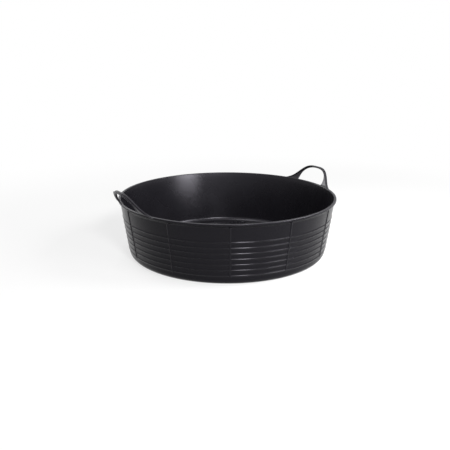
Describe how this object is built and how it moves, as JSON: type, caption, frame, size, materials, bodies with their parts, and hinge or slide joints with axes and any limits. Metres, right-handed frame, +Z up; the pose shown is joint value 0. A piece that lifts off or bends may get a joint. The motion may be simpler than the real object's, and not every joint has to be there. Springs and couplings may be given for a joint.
{
  "type": "mortar mixing tub",
  "caption": "Wide shallow flexible mixing tub with a leaning ribbed wall, a rim lip and loop handles that bend where they meet the rim.",
  "frame": {"origin": "centre of the underside, on the ground", "axes": "+X through the right handle, +Z up, +Y to the rear"},
  "size_m": [0.6276, 0.58, 0.1996],
  "materials": {
    "tub_plastic": "satin",
    "grip_plastic": "satin"
  },
  "bodies": {
    "tub": {"floor_plate": "tub_plastic", "wall_shell": "tub_plastic", "rim_lip": "tub_plastic", "right_handle_root_rear": "tub_plastic", "right_handle_root_front": "tub_plastic", "left_handle_root_front": "tub_plastic", "left_handle_root_rear": "tub_plastic"},
    "right_handle": {"right_handle_grip": "grip_plastic"},
    "left_handle": {"left_handle_grip": "grip_plastic"}
  },
  "joints": [
    {"name": "right_handle_bend", "type": "hinge", "parent": "tub", "child": "right_handle", "pos_m": [0.277, 0, 0.1546], "axis": [0, -1, 0], "range_deg": [-20, 45], "stiffness_Nm_per_rad": 1},
    {"name": "left_handle_bend", "type": "hinge", "parent": "tub", "child": "left_handle", "pos_m": [-0.27683, -0.00967, 0.1546], "axis": [-0.0349, 0.9994, 0], "range_deg": [-20, 45], "stiffness_Nm_per_rad": 1}
  ]
}
